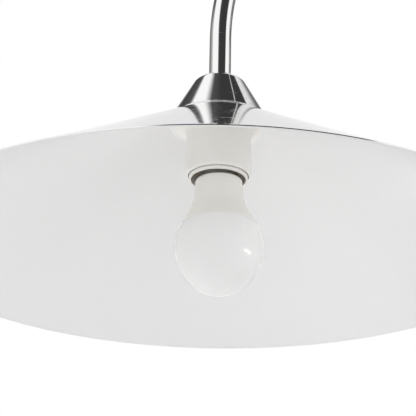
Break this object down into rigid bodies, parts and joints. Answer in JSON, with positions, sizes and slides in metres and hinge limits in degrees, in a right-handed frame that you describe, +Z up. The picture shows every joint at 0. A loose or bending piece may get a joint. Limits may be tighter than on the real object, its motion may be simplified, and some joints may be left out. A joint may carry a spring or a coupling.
{
  "type": "adjustable desk lamp",
  "caption": "Desk lamp with a weighted round base, jointed tube arms, a curved neck and a wide conical polished metal shade, white inside, over a screw-in bulb.",
  "frame": {"origin": "centre of the base's underside, on the desk", "axes": "+Z up along the post; the arms lie in the XZ plane and the head hangs on the -X side"},
  "size_m": [0.762, 0.4152, 0.7745],
  "materials": {
    "polished_metal": "mirror polished steel",
    "spun_shade": "polished outside, matt white lacquer inside",
    "steel": "zinc plated",
    "fibre_washer": "vulcanised fibre",
    "black_plastic": "fine texture",
    "cast_weight": "painted casting",
    "rubber_pad": "matt",
    "brass": "turned",
    "wire_sleeve": "smooth insulation",
    "white_plastic": "satin moulding",
    "bulb_body": "smooth moulding",
    "bulb_metal": "rolled thread",
    "opal_dome": "opal diffuser, light gloss",
    "circuit_board": "solder mask"
  },
  "bodies": {
    "base": {"base_pad": "rubber_pad", "base_weight": "cast_weight", "base_cover": "polished_metal", "base_collar": "polished_metal", "swivel_bush": "brass", "post_washer": "fibre_washer", "switch_housing": "black_plastic", "inlet_socket": "black_plastic", "inlet_pin_left": "steel", "inlet_pin_right": "steel", "supply_lead": "wire_sleeve", "switched_lead": "wire_sleeve"},
    "rocker": {"switch_rocker": "black_plastic"},
    "post": {"post_tube": "polished_metal", "post_nut": "steel", "shoulder_fork": "polished_metal", "shoulder_fork_screw": "steel", "shoulder_bolt": "polished_metal", "shoulder_washer_left": "fibre_washer", "shoulder_washer_right": "fibre_washer"},
    "shoulder_knob": {"shoulder_knob": "black_plastic"},
    "lower_arm": {"shoulder_tongue": "polished_metal", "shoulder_tongue_screw": "steel", "lower_arm_tube": "polished_metal", "lower_arm_lead": "wire_sleeve", "elbow_fork": "polished_metal", "elbow_fork_screw": "steel", "elbow_bolt": "polished_metal", "elbow_washer_left": "fibre_washer", "elbow_washer_right": "fibre_washer"},
    "elbow_knob": {"elbow_knob": "black_plastic"},
    "upper_arm": {"elbow_tongue": "polished_metal", "elbow_tongue_screw": "steel", "upper_arm_tube": "polished_metal", "upper_arm_lead": "wire_sleeve", "head_fork": "polished_metal", "head_fork_screw": "steel", "head_bolt": "polished_metal", "head_washer_left": "fibre_washer", "head_washer_right": "fibre_washer"},
    "head_knob": {"head_knob": "black_plastic"},
    "lamp_head": {"head_tongue": "polished_metal", "head_tongue_screw": "steel", "swan_neck": "polished_metal", "head_lead": "wire_sleeve", "neck_cap": "polished_metal", "shade": "spun_shade", "threaded_nipple": "brass", "holder_nut": "steel", "holder_cover": "white_plastic", "holder_insert": "white_plastic", "holder_screw_shell": "brass", "holder_contact": "brass", "bulb_cap": "bulb_metal", "bulb_insulator": "black_plastic", "bulb_tip": "brass", "bulb_collar": "bulb_body", "led_board": "circuit_board", "bulb_dome": "opal_dome"}
  },
  "joints": [
    {"name": "base_swivel", "type": "hinge", "parent": "base", "child": "post", "pos_m": [0, 0, 0.03], "axis": [0, 0, 1], "range_deg": [-170, 170]},
    {"name": "shoulder_tilt", "type": "hinge", "parent": "post", "child": "lower_arm", "pos_m": [0, 0, 0.115], "axis": [0, 1, 0], "range_deg": [-15, 25]},
    {"name": "elbow_tilt", "type": "hinge", "parent": "lower_arm", "child": "upper_arm", "pos_m": [0.10353, 0, 0.50137], "axis": [0, 1, 0], "range_deg": [-25, 45]},
    {"name": "head_tilt", "type": "hinge", "parent": "upper_arm", "child": "lamp_head", "pos_m": [-0.20289, 0, 0.75848], "axis": [0, 1, 0], "range_deg": [-45, 45]},
    {"name": "shoulder_knob_turn", "type": "hinge", "parent": "post", "child": "shoulder_knob", "pos_m": [0, -0.02, 0.115], "axis": [0, -1, 0], "range_deg": [-180, 180]},
    {"name": "elbow_knob_turn", "type": "hinge", "parent": "lower_arm", "child": "elbow_knob", "pos_m": [0.10353, -0.02, 0.50137], "axis": [0, -1, 0], "range_deg": [-180, 180]},
    {"name": "head_knob_turn", "type": "hinge", "parent": "upper_arm", "child": "head_knob", "pos_m": [-0.20289, -0.02, 0.75848], "axis": [0, -1, 0], "range_deg": [-180, 180]},
    {"name": "switch_rock", "type": "hinge", "parent": "base", "child": "rocker", "pos_m": [-0.098, 0, 0.02836], "axis": [0, 1, 0], "range_deg": [0, 14]}
  ]
}
